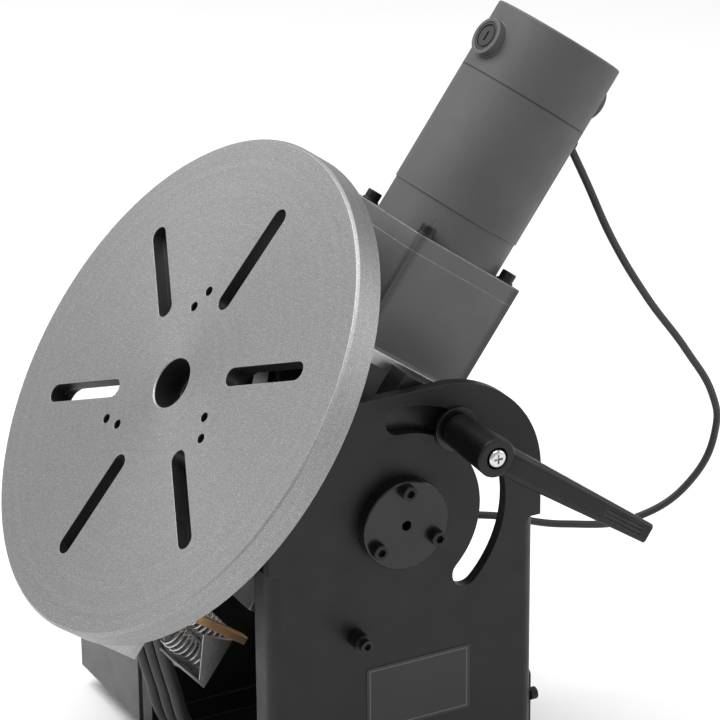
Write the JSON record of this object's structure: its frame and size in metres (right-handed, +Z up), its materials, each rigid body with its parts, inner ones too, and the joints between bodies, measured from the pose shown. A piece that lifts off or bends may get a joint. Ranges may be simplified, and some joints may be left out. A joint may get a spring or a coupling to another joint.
{
  "type": "tilting rotary table",
  "caption": "Bench-top motor-driven turntable with a slotted round faceplate on a tilting cradle, clamp lever, ground brush and side control box.",
  "frame": {"origin": "centre of the base plate's underside, on the floor, straight below the tilt axis", "axes": "+Z up; +X along the tilt axis towards the clamp lever side; -Y towards the open front the table faces"},
  "size_m": [0.4028, 0.5295, 0.5374],
  "materials": {
    "steel_black": "satin black powder coat",
    "cradle_paint": "satin dark grey",
    "steel_plate": "ground steel",
    "zinc": "zinc plated",
    "black_screws": "black oxide",
    "disc": "turned",
    "motor_paint": "satin grey",
    "gear_case": "satin",
    "box_paint": "satin grey",
    "plastic": "matte",
    "handle": "satin",
    "rubber": "matte",
    "copper": "copper",
    "bronze": "bronze",
    "graphite": "graphite",
    "label": "printed foil, blank"
  },
  "bodies": {
    "base": {"base_plate": "steel_black", "floor_angles": "steel_black", "side_plate_right": "steel_black", "side_plate_left": "steel_black", "rear_panel": "steel_black", "frame_screws": "black_screws", "trunnions": "steel_black", "trunnion_screws": "black_screws", "side_screw": "zinc", "rating_label": "label", "control_box": "box_paint", "control_box_cover": "box_paint", "cover_screws": "zinc", "speed_controller": "plastic", "switch_bezels": "plastic", "box_sockets": "plastic", "motor_cable": "rubber", "ground_cables": "rubber", "terminal_block": "zinc"},
    "cradle": {"cradle_arm_right": "cradle_paint", "cradle_arm_left": "cradle_paint", "cradle_plate": "steel_plate", "cradle_web": "steel_plate", "cradle_screws": "black_screws", "trunnion_bushes": "bronze", "spindle_housing": "cradle_paint", "spindle_bearings": "steel_plate", "gearbox_casing": "gear_case", "gearbox_flange": "gear_case", "gearbox_screws": "black_screws", "drive_bearings": "steel_plate", "motor_adapter": "motor_paint", "motor_yoke": "motor_paint", "motor_end_cap": "motor_paint", "brush_caps": "plastic", "carbon_brushes": "graphite", "motor_magnets": "graphite", "clamp_stud": "steel_plate", "clamp_washer": "steel_plate", "brush_arm": "zinc", "brush_springs": "zinc", "ground_brush": "graphite", "copper_bar": "copper", "cable_gland": "rubber"},
    "table": {"table_disc": "disc", "spindle": "steel_plate", "disc_screws": "black_screws", "spindle_nut": "steel_plate", "bevel_wheel": "steel_plate"},
    "output": {"bevel_pinion": "steel_plate", "output_shaft": "steel_plate"},
    "countershaft": {"countershaft": "steel_plate"},
    "armature": {"motor_armature": "copper"},
    "lever_insert": {"lever_insert": "steel_plate", "lever_screw": "zinc", "lever_spring": "zinc"},
    "lever_handle": {"lever_handle": "handle"},
    "speed_knob": {"speed_knob": "plastic"},
    "direction_rocker": {"direction_rocker": "plastic"},
    "power_rocker": {"power_rocker": "plastic"}
  },
  "joints": [
    {"name": "tilt", "type": "hinge", "parent": "base", "child": "cradle", "pos_m": [0, 0, 0.24], "axis": [1, 0, 0], "range_deg": [-94, 36], "deforming": ["motor_cable", "ground_cables"]},
    {"name": "table_spin", "type": "hinge", "parent": "cradle", "child": "table", "pos_m": [0, 0, 0.24], "axis": [0, -0.809, 0.5878], "continuous": true},
    {"name": "output_spin", "type": "hinge", "parent": "cradle", "child": "output", "pos_m": [0, -0.01052, 0.24764], "axis": [0, 0.5878, 0.809], "continuous": true},
    {"name": "countershaft_spin", "type": "hinge", "parent": "cradle", "child": "countershaft", "pos_m": [0.0225, -0.01052, 0.24764], "axis": [0, 0.5878, 0.809], "continuous": true},
    {"name": "armature_spin", "type": "hinge", "parent": "cradle", "child": "armature", "pos_m": [0, -0.01052, 0.24764], "axis": [0, 0.5878, 0.809], "continuous": true},
    {"name": "lever_turn", "type": "hinge", "parent": "cradle", "child": "lever_insert", "pos_m": [0, 0.04115, 0.29663], "axis": [1, 0, 0], "range_deg": [-20, 160]},
    {"name": "lever_lift", "type": "slide", "parent": "lever_insert", "child": "lever_handle", "axis": [1, 0, 0], "range_m": [0, 0.005], "deforming": ["lever_spring"]},
    {"name": "speed_knob_turn", "type": "hinge", "parent": "base", "child": "speed_knob", "pos_m": [-0.206, -0.01, 0.1545], "axis": [-1, 0, 0], "range_deg": [-135, 135]},
    {"name": "direction_rock", "type": "hinge", "parent": "base", "child": "direction_rocker", "pos_m": [-0.203, 0.025, 0.0985], "axis": [0, -1, 0], "range_deg": [-10, 10]},
    {"name": "power_rock", "type": "hinge", "parent": "base", "child": "power_rocker", "pos_m": [-0.203, -0.045, 0.0985], "axis": [0, -1, 0], "range_deg": [-10, 10]}
  ],
  "couplings": [
    {"joint": "output_spin", "follows": "table_spin", "ratio": 4},
    {"joint": "countershaft_spin", "follows": "table_spin", "ratio": -16},
    {"joint": "armature_spin", "follows": "table_spin", "ratio": 64}
  ]
}
